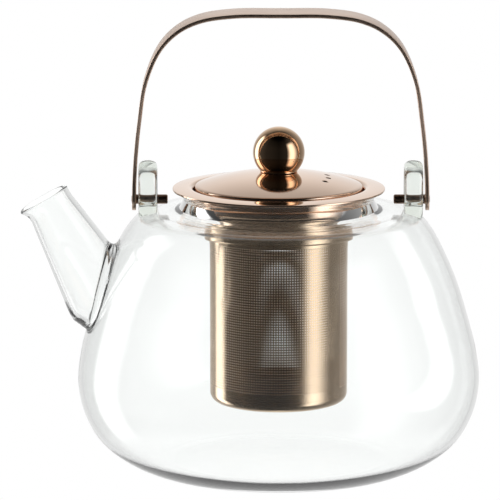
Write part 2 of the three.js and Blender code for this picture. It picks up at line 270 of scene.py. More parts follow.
# %% Wires
class Wire:
    """One output socket that can be used in arithmetic."""

    def __init__(self, maker, socket):
        self.maker = maker
        self.socket = socket

    def _math(self, operation, *values):
        return self.maker.node("ShaderNodeMath", {"operation": operation}, *values)

    def __add__(self, other):
        return self._math("ADD", self, other)

    def __sub__(self, other):
        return self._math("SUBTRACT", self, other)

    def __rsub__(self, other):
        return self._math("SUBTRACT", other, self)

    def __mul__(self, other):
        return self._math("MULTIPLY", self, other)

    __radd__ = __add__
    __rmul__ = __mul__

    def other(self, name):
        """Another output of the same node."""
        return Wire(self.maker, self.socket.node.outputs[name])


# %% Nodes
class Nodes:
    """Makes nodes in one tree."""

    def __init__(self, tree):
        self.tree = tree
        self.tree.nodes.clear()

    def node(self, kind, settings=None, *values, out=0, at=None, **named):
        """A node with its settings, then its inputs: by order, by the numbers in at, or by name.
        Gives the output as a wire, or the node itself where it has no output."""
        made = self.tree.nodes.new(kind)
        for name, value in (settings or {}).items():
            if name == "stops":
                self._stops(made.color_ramp, value)
            else:
                setattr(made, name, value)
        for key, value in [*zip(at or range(len(values)), values), *named.items()]:
            socket = made.inputs[key if isinstance(key, int) else key.replace("_", " ")]
            if isinstance(value, Wire):
                self.tree.links.new(value.socket, socket)
            else:
                socket.default_value = value
        return Wire(self, made.outputs[out]) if made.outputs else made

    @staticmethod
    def _stops(ramp, stops):
        while len(ramp.elements) < len(stops):
            ramp.elements.new(1.0)
        for element, (place, color) in zip(ramp.elements, stops):
            element.position = place
            element.color = (*color, 1)

    def step(self, value, low, high):
        """0 below low, 1 above high, and a soft change between them."""
        return self.node("ShaderNodeMapRange", {"interpolation_type": "SMOOTHSTEP"}, value,
                         From_Min=low, From_Max=high)

    def blend(self, factor, a, b):
        """A colour between two colours."""
        return self.node("ShaderNodeMix", {"data_type": "RGBA"}, factor, a, b, at=(0, 6, 7), out=2)


# %% Finishes
class Finish(Nodes):
    """A material with one Principled shader."""

    def __init__(self, name, preview, **constants):
        self.material = bpy.data.materials.new(name)
        self.material.use_nodes = True
        self.material.diffuse_color = (*preview, 1)
        super().__init__(self.material.node_tree)
        surface = self.node("ShaderNodeBsdfPrincipled")
        self.shader = surface.socket.node
        self.output = self.node("ShaderNodeOutputMaterial", None, surface)
        self.shader.inputs["Base Color"].default_value = (*preview, 1)
        for key, value in constants.items():
            self.shader.inputs[key.replace("_", " ")].default_value = value

    def feed(self, **inputs):
        for key, value in inputs.items():
            self.tree.links.new(value.socket, self.shader.inputs[key.replace("_", " ")])

    def grain(self):
        return self.node("ShaderNodeAttribute", {"attribute_name": "grain"}, out=1)

    def place(self):
        return self.node("ShaderNodeTexCoord", None, out=3)

    def noise(self, where, scale, detail, stretch=None):
        """Smooth noise from 0 to 1; stretch scales the three coordinates first."""
        if stretch is not None:
            where = self.node("ShaderNodeVectorMath", {"operation": "MULTIPLY"}, where, stretch)
        return self.node("ShaderNodeTexNoise", None, where, Scale=scale, Detail=detail)

    def bump(self, height, distance):
        return self.node("ShaderNodeBump", None, Height=height, Distance=distance, Strength=1.0)


# %% [markdown]
# ## Metal finishes
#
# All the visible metal is stainless steel with a copper-coloured plating. What changes is the
# polish: the flange, lid and knob are nearly mirrors, the basket is satin, and the strap is brushed
# along its length. Plating shows through small changes of colour and gloss, so a slow noise moves
# both, and a fine stretched noise makes the polishing lines.
#
# The inside of the basket is one exception. It gets a light matt finish that isn't metallic, so
# that the far wall, seen through the holes of the near wall, is bright and even and the grid of
# holes reads clearly. A metallic inner face would mirror the dark front of the room instead.

# %% Plated metals
def plated(name, color, roughness, line_depth, lines=(0.05, 0.05, 6.0), smudge=0.04, tone=0.05,
           metallic=1.0):
    """Plated metal with polishing lines along its grain, soft smudges and small tone changes."""
    finish = Finish(name, color, Metallic=metallic, Roughness=roughness)
    fine = finish.noise(finish.grain(), 1.0, 3.0, lines)  # polishing lines
    cloud = finish.noise(finish.place(), 55.0, 3.0)  # smudges about 2 cm wide
    patch = finish.noise(finish.place(), 17.0, 1.0)  # slow changes of tone
    dark = tuple(c * (1 - tone) for c in color)
    light = tuple(min(1.0, c * (1 + tone)) for c in color)
    finish.feed(
        Base_Color=finish.blend(patch * 0.6 + fine * 0.4, (*dark, 1), (*light, 1)),
        Roughness=finish.step(cloud, 0.35, 0.75) * smudge + fine * (roughness * 0.3)
        + roughness * 0.82,
        Normal=finish.bump(fine, line_depth * MM),
    )
    return finish.material


POLISHED = plated("polished_copper", (0.78, 0.58, 0.45), 0.07, 0.0002)
KNOB = plated("knob_copper", (0.72, 0.49, 0.31), 0.045, 0.0003)
SATIN = plated("satin_bronze", (0.72, 0.56, 0.41), 0.20, 0.0001, smudge=0.02)
INSIDE = plated("inner_bronze", (0.95, 0.79, 0.66), 0.60, 0.0001, metallic=0.0)
STRAP = plated("brushed_copper", (0.70, 0.53, 0.42), 0.34, 0.0005, lines=(0.06, 0.06, 7.0))
PIN = plated("dark_pin", (0.30, 0.21, 0.16), 0.30, 0.002)
STEEL = plated("plain_steel", (0.60, 0.59, 0.58), 0.24, 0.002)
print("metals:", [m.name for m in (POLISHED, KNOB, SATIN, INSIDE, STRAP, PIN, STEEL)])

# %% [markdown]
# ## Glass
#
# Blown glass needs real thickness: a ray has to enter and leave each wall. Nearly clear glass still
# takes a little light, and the long way through a wall seen edge-on is what draws the outline.
# A volume absorption does that by itself, so no outline is painted. The tint is a fixed value, and
# only a slow ripple in the surface varies. The thick loops get a deeper tint than the thin walls.

# %% Clear glass
def clear_glass(name, tint, density, ripple_depth):
    """Glass with a slight ripple; its tint takes light per metre of thickness."""
    finish = Finish(name, (0.99, 1.0, 0.995), Roughness=0.0, IOR=1.47, Transmission_Weight=1.0)
    ripple = finish.noise(finish.place(), 45.0, 1.0)
    finish.feed(Normal=finish.bump(ripple, ripple_depth * MM))
    absorption = finish.node("ShaderNodeVolumeAbsorption", None, (*tint, 1), density)
    finish.tree.links.new(absorption.socket, finish.output.inputs["Volume"])
    return finish.material


GLASS = clear_glass("clear_glass", (0.82, 0.83, 0.82), 22.0, 0.02)
THICK_GLASS = clear_glass("thick_loop_glass", (0.72, 0.76, 0.70), 70.0, 0.05)
print("glasses:", GLASS.name, "and", THICK_GLASS.name)

# %% [markdown]
# ## The pot and its spout
#
# On the real pot the spout is a cone of tube that a glassblower fuses to the body, so there is no
# seam: the surface runs from the body up the spout, over the lip and back down inside. Cutting one
# mesh with the other would leave ragged edges that glass shows at once. Instead the body's wall is
# a grid of rows and columns with a window left out, and rings of equal length run from the window's
# edge, over a fillet, up the cone and round the lip to the matching window in the inner wall.

# %% Sizes of the pot
FOOT_RADIUS = 46
POT_OUTLINE = [
    (FOOT_RADIUS, 0), (56, 1.6), (67.5, 6.8), (76.6, 14.5), (82.4, 25), (84.8, 37), (83.6, 50),
    (80, 64.5), (75.4, 79.5), (69.7, 93), (64.2, 103), (59, 108.3), (52, 110.3), (45, 110.9),
    (41, 112.2), (40.1, 114.6), (40.9, 117.2), (42.4, 118.9),
]
POT_WALL = 2.0
FOOT_WALL = 2.6
PUNT = 0.7  # how far the middle of the foot is pushed up
LIP_BEAD = 1.25
POT_COLUMNS = 192

SPOUT_APEX = np.array([-130.9, 0, 173.4])
SPOUT_LEAN = math.radians(29.7)
SPOUT_TAN = math.tan(math.radians(8.05))
SPOUT_WALL = 2.0
MOUTH_FROM_APEX = 66.0
SPOUT_AXIS = np.array([math.sin(SPOUT_LEAN), 0, -math.cos(SPOUT_LEAN)])
SPOUT_SIDE = np.array([-math.cos(SPOUT_LEAN), 0, -math.sin(SPOUT_LEAN)])
SPOUT_ACROSS = np.array([0, 1, 0])
print("pot:", 2 * max(radius for radius, _ in POT_OUTLINE), "mm across")

# %% The pot's outer and inner lines
LIP_IN = 0.98  # how far the lip's middle lies inside the outline, as a share of the bead
FLOOR_RISE = 0.5  # how much thicker the foot is in the middle
FOOT_BLEND = 12  # the foot's extra thickness fades over this height
INNER_TOP = 117.0  # the inner line ends here, where the lip's bead begins

outer_line = smooth_line(POT_OUTLINE, 1200)
outer_line = outer_line[outer_line[:, 1] < POT_OUTLINE[-1][1] - LIP_BEAD * 0.9]
lip_turn = outer_line[-1] - (LIP_BEAD * LIP_IN, -0.2)
foot_in = np.linspace(0, FOOT_RADIUS, 60)[:-1]
foot_push = (1 - (foot_in / FOOT_RADIUS) ** 2) ** 2
foot_line = np.column_stack([foot_in, PUNT * foot_push])
outside = np.vstack([foot_line, outer_line])

near_foot = ease((FOOT_BLEND - outer_line[:, 1]) / FOOT_BLEND)
inner_line = offset_line(outer_line, POT_WALL + (FOOT_WALL - POT_WALL) * near_foot)
inner_line = inner_line[(inner_line[:, 1] < INNER_TOP) & (inner_line[:, 0] > FOOT_RADIUS - 3)]
floor_line = np.column_stack([foot_in, FOOT_WALL + FLOOR_RISE * foot_push])
floor_line = floor_line[foot_in < FOOT_RADIUS - 4]
inside = np.vstack([floor_line, inner_line])
lip_line = arc(*lip_turn, LIP_BEAD, 0, 180, 14)
print("outer line:", len(outside), "points, inner line:", len(inside))

# %% [markdown]
# ## Walls with windows
#
# A blown wall is round, so a place on it is an angle and a distance along its line. The grid of a
# wall can leave windows open, as a glassblower opens the wall where the spout goes on. The same
# grid makes the lid with its steam vents, which are punched before the dome is pressed.

# %% Walls and windows
SIDE_LOW, SIDE_HIGH = 20, 109  # between these heights the side wall has one radius per height


class Wall:
    """A surface turned from a fine line, addressed by an angle and a distance along the line."""

    def __init__(self, line):
        self.line = line
        self.s = lengths(line)
        self.side = (line[:, 1] > SIDE_LOW) & (line[:, 1] < SIDE_HIGH)

    def at(self, angle, s):
        radius = np.interp(s, self.s, self.line[:, 0])
        height = np.interp(s, self.s, self.line[:, 1]) + np.zeros(len(angle))
        return np.column_stack([radius * np.cos(angle), radius * np.sin(angle), height])

    def s_of_height(self, height):
        """Distance along the line, for heights on the side wall."""
        return np.interp(height, self.line[self.side, 1], self.s[self.side])

    def radius(self, height):
        return np.interp(height, self.line[self.side, 1], self.line[self.side, 0])


outer_wall = Wall(outside)
inner_wall = Wall(inside)


# %% A grid with windows
FIRST_ROW = 0.8  # the first row's distance from the middle; a cap closes it


def grid_rows(parts):
    """Row places from stretches of (end distance, spacing)."""
    rows = [FIRST_ROW]
    for end, spacing in parts:
        count = max(1, int(round((end - rows[-1]) / spacing)))
        rows.extend(np.linspace(rows[-1], end, count + 1)[1:])
    return np.array(rows)


def windowed_grid(shape, wall, rows, columns, windows):
    """Adds the rows of a turned wall. Each window is (first row, last row, first column, last
    column); its inside is left open, and the loop of vertices round each one is returned."""
    angles = np.linspace(0, 2 * np.pi, columns, endpoint=False)
    number = -np.ones((len(rows), columns), int)
    open_cell = np.zeros((len(rows) - 1, columns), bool)
    hidden = np.zeros((len(rows), columns), bool)
    for low, high, left, right in windows:
        for j in range(left, right):
            open_cell[low:high, j % columns] = True
        for j in range(left + 1, right):
            hidden[low + 1:high, j % columns] = True
    for i, s in enumerate(rows):
        points = wall.at(angles, s)
        seen = ~hidden[i]
        number[i, seen] = shape.ring(points[seen], turned_grain(points[seen], s))
    for i, j in zip(*np.nonzero(~open_cell)):
        k = (j + 1) % columns
        shape.faces.append((number[i, j], number[i, k], number[i + 1, k], number[i + 1, j]))
    loops = []
    for low, high, left, right in windows:
        walk = ([(low, j) for j in range(left, right)] + [(i, right) for i in range(low, high)]
                + [(high, j) for j in range(right, left, -1)]
                + [(i, left) for i in range(high, low, -1)])
        loops.append(([number[i, j % columns] for i, j in walk],
                      np.array([[2 * np.pi * j / columns, rows[i]] for i, j in walk])))
    return number, loops


print("outer and inner wall:", [round(wall.s[-1], 1) for wall in (outer_wall, inner_wall)], "mm along")

# %% [markdown]
# ## Where the spout meets the pot
#
# The side lines of the cone are followed down until they reach the pot's wall. On the lower side
# the hot glass is drawn in to a heel, and the cheeks swell a little, so the root isn't a true cone.

# %% Where the spout meets the pot
HEEL_FROM = 112.5  # the lower side of the spout is drawn in from here on
HEEL_LENGTH = 10.5
HEEL_DEPTH = 5.4
CHEEK_SWELL = 2.4  # how far the sides swell on the way to the joint
CHEEK_FROM, CHEEK_LENGTH = 84, 34
SEARCH_NEAR, SEARCH_FAR = 75.0, 128.0  # the joint lies between these distances from the apex
REACH = 75.0  # turns angles about the axis into distances near the spout


def root_shape(distance, angle):
    """How far the wall stands outside a plain cone near the joint."""
    heel = min(max((distance - HEEL_FROM) / HEEL_LENGTH, 0), 1.15)
    cheek = float(ease((distance - CHEEK_FROM) / CHEEK_LENGTH))
    return (CHEEK_SWELL * cheek * math.sin(angle) ** 2
            - HEEL_DEPTH * heel ** 2.7 * max(math.cos(angle), 0) ** 1.5)


def cone_point(distance, angle, wall=0.0):
    """A point on the spout's cone, a wall's thickness inside its outer surface."""
    radius = distance * SPOUT_TAN - wall + root_shape(distance + wall * 0.8, angle)
    return (SPOUT_APEX + SPOUT_AXIS * distance
            + radius * (math.cos(angle) * SPOUT_SIDE + math.sin(angle) * SPOUT_ACROSS))


def meeting_distance(angle, wall, surface):
    """How far from the apex one side line of the cone meets the pot's wall."""
    near, far = SEARCH_NEAR, SEARCH_FAR
    for _ in range(40):
        middle = (near + far) / 2
        x, y, z = cone_point(middle, angle, wall)
        if math.hypot(x, y) > surface.radius(z):
            near = middle
        else:
            far = middle
    return near


# %% Matching the cone's side lines to a window
def joint_line(angles, wall, surface):
    """Where side lines of the cone meet the wall: distances from the apex, points and places."""
    meets = np.array([meeting_distance(a, wall, surface) for a in angles])
    points = np.array([cone_point(m, a, wall) for m, a in zip(meets, angles)])
    places = np.column_stack([np.arctan2(points[:, 1], points[:, 0]) % (2 * np.pi),
                              surface.s_of_height(points[:, 2])])
    return meets, points, places


def matched_angles(loop_places, wall, surface):
    """For each vertex of a window's edge, the side line of the cone that lies in its direction."""
    centre = loop_places.mean(axis=0)
    dense = np.linspace(0, 2 * np.pi, 721)[:-1]

    def bearing(p):
        return np.unwrap(np.arctan2(p[:, 1] - centre[1], (p[:, 0] - centre[0]) * REACH))

    seen = bearing(joint_line(dense, wall, surface)[2])
    wanted = bearing(loop_places)
    if seen[-1] < seen[0]:
        seen, wanted = -seen, -wanted
    wanted = wanted - 2 * np.pi * np.round((wanted[0] - seen[0]) / (2 * np.pi))
    more = np.concatenate([seen - 2 * np.pi, seen, seen + 2 * np.pi])
    turns = np.concatenate([dense - 2 * np.pi, dense, dense + 2 * np.pi])
    return np.interp(wanted, more, turns)


reaches = [meeting_distance(angle, 0.0, outer_wall) for angle in (0, math.pi)]
print("the cone reaches the wall at", [round(reach, 1) for reach in reaches], "mm from its apex")

# %% The pot's wall with its window
WINDOW_OUT = (49, 104.6)  # heights that the window runs between, outside and inside
WINDOW_IN = (50, 103.4)
HALF_WINDOW = 12  # columns on each side of the spout
INNER_NECK_ROWS = 43

pot = Shape()
s_low, s_high = (outer_wall.s_of_height(height) for height in WINDOW_OUT)
i_low, i_high = (inner_wall.s_of_height(height) for height in WINDOW_IN)
outer_rows = grid_rows([(FOOT_RADIUS, 2.6), (s_low, 2.0), (s_high, 2.0), (outer_wall.s[-1], 0.7)])
inner_rows = grid_rows([(FOOT_RADIUS - 6, 2.2), (i_low, 1.9)])
low, high = (int(np.argmin(abs(outer_rows - s))) for s in (s_low, s_high))
window_rows = high - low
in_low = len(inner_rows) - 1
in_high = in_low + window_rows
inner_rows = np.concatenate([inner_rows, np.linspace(i_low, i_high, window_rows + 1)[1:],
                             np.linspace(i_high, inner_wall.s[-1], INNER_NECK_ROWS + 1)[1:]])
middle_column = POT_COLUMNS // 2
columns = (middle_column - HALF_WINDOW, middle_column + HALF_WINDOW)
outer_number, [(outer_loop, outer_places)] = windowed_grid(
    pot, outer_wall, outer_rows, POT_COLUMNS, [(low, high, *columns)])
inner_number, [(inner_loop, inner_places)] = windowed_grid(
    pot, inner_wall, inner_rows, POT_COLUMNS, [(in_low, in_high, *columns)])
pot.cap(list(outer_number[0]), (0, 0, PUNT))
pot.cap(list(inner_number[0]), (0, 0, FOOT_WALL + FLOOR_RISE))
lip_rings = [pot.ring(around(r, z, POT_COLUMNS)) for r, z in lip_line]
pot.loft([list(outer_number[-1]), *lip_rings, list(inner_number[-1])])
print("window loop:", len(outer_loop), "vertices; rows:", len(outer_rows), len(inner_rows))

# %% [markdown]
# ## The spout's root
#
# A fused joint has no edge: the glass flows from the wall into the cone over a fillet. The fillet
# is wide at the top and the sides, and small at the heel, where the two walls meet at a shallow
# angle. Inside the pot the same root is made with a smaller fillet.

# %% The spout's root
FILLET_OUT = 4.6
FILLET_IN = 2.2
HEEL_FILLET = 0.25  # the fillet at the heel, as a share of the fillet on top
ROOT_RINGS = 7  # rings that spread from the joint over the wall


def spout_root(loop_places, wall, surface, fillet):
    """Rings from the window's edge to the start of the cone, and each side line's angle."""
    angles = matched_angles(loop_places, wall, surface)
    meets, corner, corner_places = joint_line(angles, wall, surface)
    fillet = fillet * (1 - (1 - HEEL_FILLET) * np.clip(np.cos(angles), 0, 1))
    away = loop_places - corner_places
    reach = np.hypot(away[:, 0] * REACH, away[:, 1])[:, None]
    start_places = corner_places + away * np.minimum(fillet[:, None] / reach, 0.8)
    rings = []
    for t in np.linspace(0, 1, ROOT_RINGS + 2)[1:]:
        place = loop_places + (start_places - loop_places) * (1 - (1 - t) ** 1.35)
        rings.append(surface.at(place[:, 0], place[:, 1]))
    start = rings[-1]
    end = np.array([cone_point(m, a, wall) for m, a in zip(meets - fillet, angles)])
    for t in np.linspace(0, 1, 8)[1:]:
        rings.append((1 - t) ** 2 * start + 2 * t * (1 - t) * corner + t * t * end)
    return rings, angles, meets - fillet


outer_rings, outer_angles, outer_starts = spout_root(
    outer_places, 0.0, outer_wall, FILLET_OUT)
inner_rings, inner_angles, inner_starts = spout_root(
    inner_places, SPOUT_WALL, inner_wall, FILLET_IN)
way_round = np.sign(outer_angles[1] - outer_angles[0])
full_turn = np.linspace(0, 2 * np.pi, len(outer_angles), endpoint=False)
even = outer_angles[0] + full_turn * way_round  # side lines at equal steps, for the lip
print("root rings:", len(outer_rings), "outside and", len(inner_rings), "inside")

# %% [markdown]
# ## The spout's sides and lip
#
# The mouth is cut straight and melted to a bead, which is then turned out a little for pouring.
# On the way up, the side lines slide from the joint's uneven spacing to equal steps.

# %% The spout's sides and lip
SPOUT_ROWS = 24
LIP_START = MOUTH_FROM_APEX + 7.0
BEAD = 1.1


def lip_flare(angle):
    """The lip turns out a little all round, and more on the pouring side."""
    pour = np.clip(np.cos(angle), 0, 1) ** 2
    return 0.6 + 2.3 * pour


def lip_spread(distance, angle):
    """How far the wall's middle has moved outwards on the way to the mouth."""
    t = np.clip((LIP_START - distance) / (LIP_START - MOUTH_FROM_APEX - BEAD), 0, 1)
    return lip_flare(angle) * t ** 2.2


def spout_ring(distances, angles, depth):
    """A ring on the cone, at a depth below its outer surface, with the lip's flare."""
    return np.array([cone_point(d, a, depth - lip_spread(d, a))
                     for d, a in zip(distances, angles)])


bead_distance = MOUTH_FROM_APEX + BEAD
side_rings = []
for t in np.linspace(0, 1, SPOUT_ROWS + 1)[1:]:
    grow = t ** 0.8
    angles = outer_angles + (even - outer_angles) * ease(t)
    distances = outer_starts + (bead_distance - outer_starts) * grow
    side_rings.append(spout_ring(distances, angles, 0.0))
for turn in np.radians(np.linspace(0, 180, 10)[1:-1]):
    depth = SPOUT_WALL / 2 - BEAD * math.cos(turn)
    ring = [cone_point(bead_distance, a, depth - lip_flare(a)) - SPOUT_AXIS * BEAD * math.sin(turn)
            for a in even]
    side_rings.append(np.array(ring))
inner_turn = inner_angles + 2 * np.pi * np.round((even - inner_angles) / (2 * np.pi))
for t in np.linspace(0, 1, SPOUT_ROWS + 1):
    grow = 1 - (1 - t) ** 0.8
    angles = even + (inner_turn - even) * ease(t)
    distances = bead_distance + (inner_starts - bead_distance) * grow
    side_rings.append(spout_ring(distances, angles, SPOUT_WALL))
all_rings = [*outer_rings, *side_rings[:-1], *inner_rings[::-1]]
pot.loft([outer_loop, *[pot.ring(r) for r in all_rings], inner_loop])

glass_pot = keep(pot.build("glass_pot_and_spout", 60), "pot", "clear_glass", GLASS,
                 "glass_body", "glass_spout")
glass_pot.visible_shadow = False
print("spout rings:", len(all_rings))

# %% [markdown]
# ## The infuser
#
# The infuser's rim is one pressed sheet: a flange that rests on the glass and a shallow cup that
# takes the lid. A neck ring joins it to a basket rolled from perforated sheet.

# %% Flange, cup and neck ring
FLANGE_TOP = 120.6
FLANGE_RADIUS = 44.7
FLANGE_DROP = 0.6
SHEET = 0.8
CUP_RADIUS = 36.7
CUP_CORNER = 2.4
LEDGE_TOP = 111.2
LEDGE_HOLE = 31.5
NECK_RADIUS = 30.8
NECK_BOTTOM = 100.8
BASKET_RADIUS = 29.0
BASKET_WALL = 0.35
BASKET_BOTTOM = 28.8
BASKET_CORNER = 4.0
BASKET_JOIN = 33.3


def rim_outline():
    inner = CUP_RADIUS - SHEET
    ledge = LEDGE_TOP - SHEET
    outer_edge = FLANGE_TOP - FLANGE_DROP
    return np.vstack([
        (LEDGE_HOLE, ledge),
        arc(CUP_RADIUS - CUP_CORNER, ledge + CUP_CORNER, CUP_CORNER, -90, 0, 12),
        arc(CUP_RADIUS + 1.2, FLANGE_TOP - SHEET - 1.25, 1.2, 180, 95, 8),
        rounded([(CUP_RADIUS + 2, FLANGE_TOP - SHEET - 0.08), (FLANGE_RADIUS, outer_edge - SHEET),
                 (FLANGE_RADIUS, outer_edge), (inner + 3, FLANGE_TOP - 0.06)], 0.3, 4),
        arc(CUP_RADIUS + 1.2, FLANGE_TOP - 2.0, 2.0, 90, 180, 10)[1:],
        arc(CUP_RADIUS - CUP_CORNER, ledge + CUP_CORNER, CUP_CORNER - SHEET, 0, -90, 10),
        (LEDGE_HOLE, LEDGE_TOP),
    ])


keep(turned("infuser_rim_spun", rim_outline(), 192, closed=True), "infuser",
     "polished_copper", POLISHED, "infuser_rim")

neck_inner = BASKET_RADIUS + 0.1
keep(turned("infuser_neck_ring", rounded([
    (neck_inner, 105), (neck_inner, NECK_BOTTOM), (NECK_RADIUS - 0.7, NECK_BOTTOM),
    (NECK_RADIUS, NECK_BOTTOM + 1.1), (NECK_RADIUS, LEDGE_TOP - 0.1),
    (neck_inner, LEDGE_TOP - 0.1), (neck_inner, 105.1)], 0.25), 160, closed=True),
    "infuser", "satin_bronze", SATIN, "neck_ring")

# %% [markdown]
# ## The perforated basket
#
# The holes are what makes it an infuser, so they are cut for real: light passes through both walls
# and the two grids of holes play against each other. A grid with alternating wide and narrow steps
# has every second cell of every second row left open, and four small walls close each hole through
# the thickness of the sheet. A plain strip with a raised weld line runs down one side, where the
# rolled sheet meets itself. The faces that look inwards get the light matt finish.

# %% Perforated tube
HOLES_AROUND = 168
HOLE_ROWS = 58
HOLE_SHARE = 0.47  # hole width as a share of the pitch
HOLES_BOTTOM = 37.0
HOLES_TOP = 99.4
SEAM_BEARING = math.radians(-90 + 52.6)
SEAM_HOLES = 8  # holes missing along the weld
SEAM_RAISE = 0.07


def hole_grid():
    """The tube's column angles and row heights. Every second step of each is a hole's width."""
    pitch = 2 * np.pi / HOLES_AROUND
    angle = []
    for i in range(HOLES_AROUND):
        start = SEAM_BEARING + i * pitch
        angle += [start, start + pitch * (1 - HOLE_SHARE)]
    rise = (HOLES_TOP - HOLES_BOTTOM) / HOLE_ROWS
    height = [BASKET_JOIN]
    for i in range(HOLE_ROWS):
        height += [HOLES_BOTTOM + i * rise, HOLES_BOTTOM + (i + HOLE_SHARE) * rise]
    return np.array(angle), np.array([*height, HOLES_TOP, LEDGE_TOP - 0.1])


def perforated_tube():
    shape = Shape()
    angle, height = hole_grid()
    count = len(angle)
    half_seam = SEAM_HOLES // 2
    lift = np.zeros(count)
    lift[[0, count - 1]] = SEAM_RAISE, SEAM_RAISE * 0.3
    lift[1] = SEAM_RAISE * 0.3
    sides = []
    for radius in (BASKET_RADIUS, BASKET_RADIUS - BASKET_WALL):
        rings = []
        for z in height:
            raised = radius + (lift if radius == BASKET_RADIUS else 0)
            points = np.column_stack([raised * np.cos(angle), raised * np.sin(angle),
                                      np.full(count, z)])
            rings.append(shape.ring(points, turned_grain(points, z)))
        sides.append(rings)
    outer, inner = sides
    for i in range(len(height) - 1):
        hole_row = i % 2 == 1 and i < 2 * HOLE_ROWS
        for j in range(count):
            k = (j + 1) % count
            period = j // 2
            is_hole = (hole_row and j % 2 == 1
                       and half_seam <= period < HOLES_AROUND - half_seam)
            if is_hole:
                a = (outer[i][j], outer[i][k], outer[i + 1][k], outer[i + 1][j])
                b = (inner[i][j], inner[i][k], inner[i + 1][k], inner[i + 1][j])
                for m in range(4):
                    n = (m + 1) % 4
                    shape.faces.append((a[m], a[n], b[n], b[m]))
            else:
                for side in sides:
                    shape.faces.append((side[i][j], side[i][k], side[i + 1][k], side[i + 1][j]))
    shape.join(outer[0], inner[0])
    shape.join(outer[-1], inner[-1])
    return shape.build("perforated_basket_tube", 30)


# %% Light inner faces
def inner_faces(piece, radius):
    """Gives the second material to every face that looks towards the axis or into a hole."""
    mesh = piece.data
    centre = np.empty(len(mesh.polygons) * 3, np.float32)
    mesh.polygons.foreach_get("center", centre)
    inner = np.linalg.norm(centre.reshape(-1, 3)[:, :2], axis=1) < radius * MM
    mesh.polygons.foreach_set("material_index", inner.astype(np.int32))


tube = keep(perforated_tube(), "infuser", "perforated_bronze", SATIN, "perforated_tube")
tube.data.materials.append(INSIDE)
inner_faces(tube, BASKET_RADIUS - 0.05)
print("holes:", HOLE_ROWS * (HOLES_AROUND - SEAM_HOLES))


# %% Basket bottom
def bottom_outline():
    turn = BASKET_RADIUS - BASKET_CORNER
    centre = BASKET_BOTTOM + BASKET_CORNER
    return np.vstack([
        (0, BASKET_BOTTOM), (turn * 0.5, BASKET_BOTTOM),
        arc(turn, centre, BASKET_CORNER, -90, 0, 14),
        rounded([(BASKET_RADIUS, BASKET_JOIN - 0.3), (BASKET_RADIUS, BASKET_JOIN - 0.02),
                 (BASKET_RADIUS - BASKET_WALL, BASKET_JOIN - 0.02),
                 (BASKET_RADIUS - BASKET_WALL, BASKET_JOIN - 0.3)], 0.08),
        arc(turn, centre, BASKET_CORNER - BASKET_WALL, 0, -90, 14),
        (turn * 0.5, BASKET_BOTTOM + BASKET_WALL), (0, BASKET_BOTTOM + BASKET_WALL),
    ])


keep(turned("basket_bottom_cap", bottom_outline(), 160), "infuser", "perforated_bronze", SATIN,
     "basket_bottom")

# %% [markdown]
# ## The lid
#
# A shallow dome with a turned-down hem, three steam vents, a locating ring underneath and a ball
# knob held by a screw and washer from below. The dome is pressed from sheet, so it is made as a top
# and an under wall with windows at the vents, joined by the hem and round each hole.

# %% Sizes of the lid
LID_RADIUS = 35.2
LID_EDGE = 121.1
LID_RISE = 6.0
LID_HEM = 1.6
SKIRT_RADIUS = 33.6
VENT_RADIUS = 1.15
VENTS = ((22.6, -31), (21.4, -13), (20.4, 5))  # distance from the axis, and degrees
KNOB_RADIUS = 10.9
KNOB_CENTRE = 135.05
SCREW_RADIUS = 2.0
DOME_RADIUS = (LID_RADIUS**2 + LID_RISE**2) / (2 * LID_RISE)
DOME_CENTRE = LID_EDGE + LID_RISE - DOME_RADIUS
DOME_ROW = 0.8  # spacing of the dome's rows
HEM_TURN = 0.55  # the hem's bend starts this far inside the edge
LID_COLUMNS = 160


def dome_height(radius, depth=0.0):
    return DOME_CENTRE + np.sqrt((DOME_RADIUS - depth) ** 2 - np.asarray(radius) ** 2)


def dome_line(start, end, depth, steps):
    radius = np.linspace(start, end, steps + 1)
    return np.column_stack([radius, dome_height(radius, depth)])


print("the dome is part of a sphere of radius", round(DOME_RADIUS, 1), "mm")


# %% Dome with vents
def vent_side(shape, wall, depth, window, middle, distance):
    """Rings from a window's edge to the round hole of a vent, on one side of the sheet."""
    loop, places = window
    spoke = wall.at(places[:, 0], places[:, 1])[:, :2] - middle
    spoke /= np.linalg.norm(spoke, axis=1)[:, None]
    sink = 0.06 if depth == 0 else -0.06  # the punch leaves the hole's edge slightly round
    rings = [loop]
    for radius, drop in ((VENT_RADIUS * 1.45, 0), (VENT_RADIUS * 1.12, 0), (VENT_RADIUS, sink)):
        xy = middle + spoke * radius
        points = np.column_stack([xy, dome_height(np.linalg.norm(xy, axis=1), depth) - drop])
        rings.append(shape.ring(points, turned_grain(points, distance)))
    shape.loft(rings)
    return rings[-1]


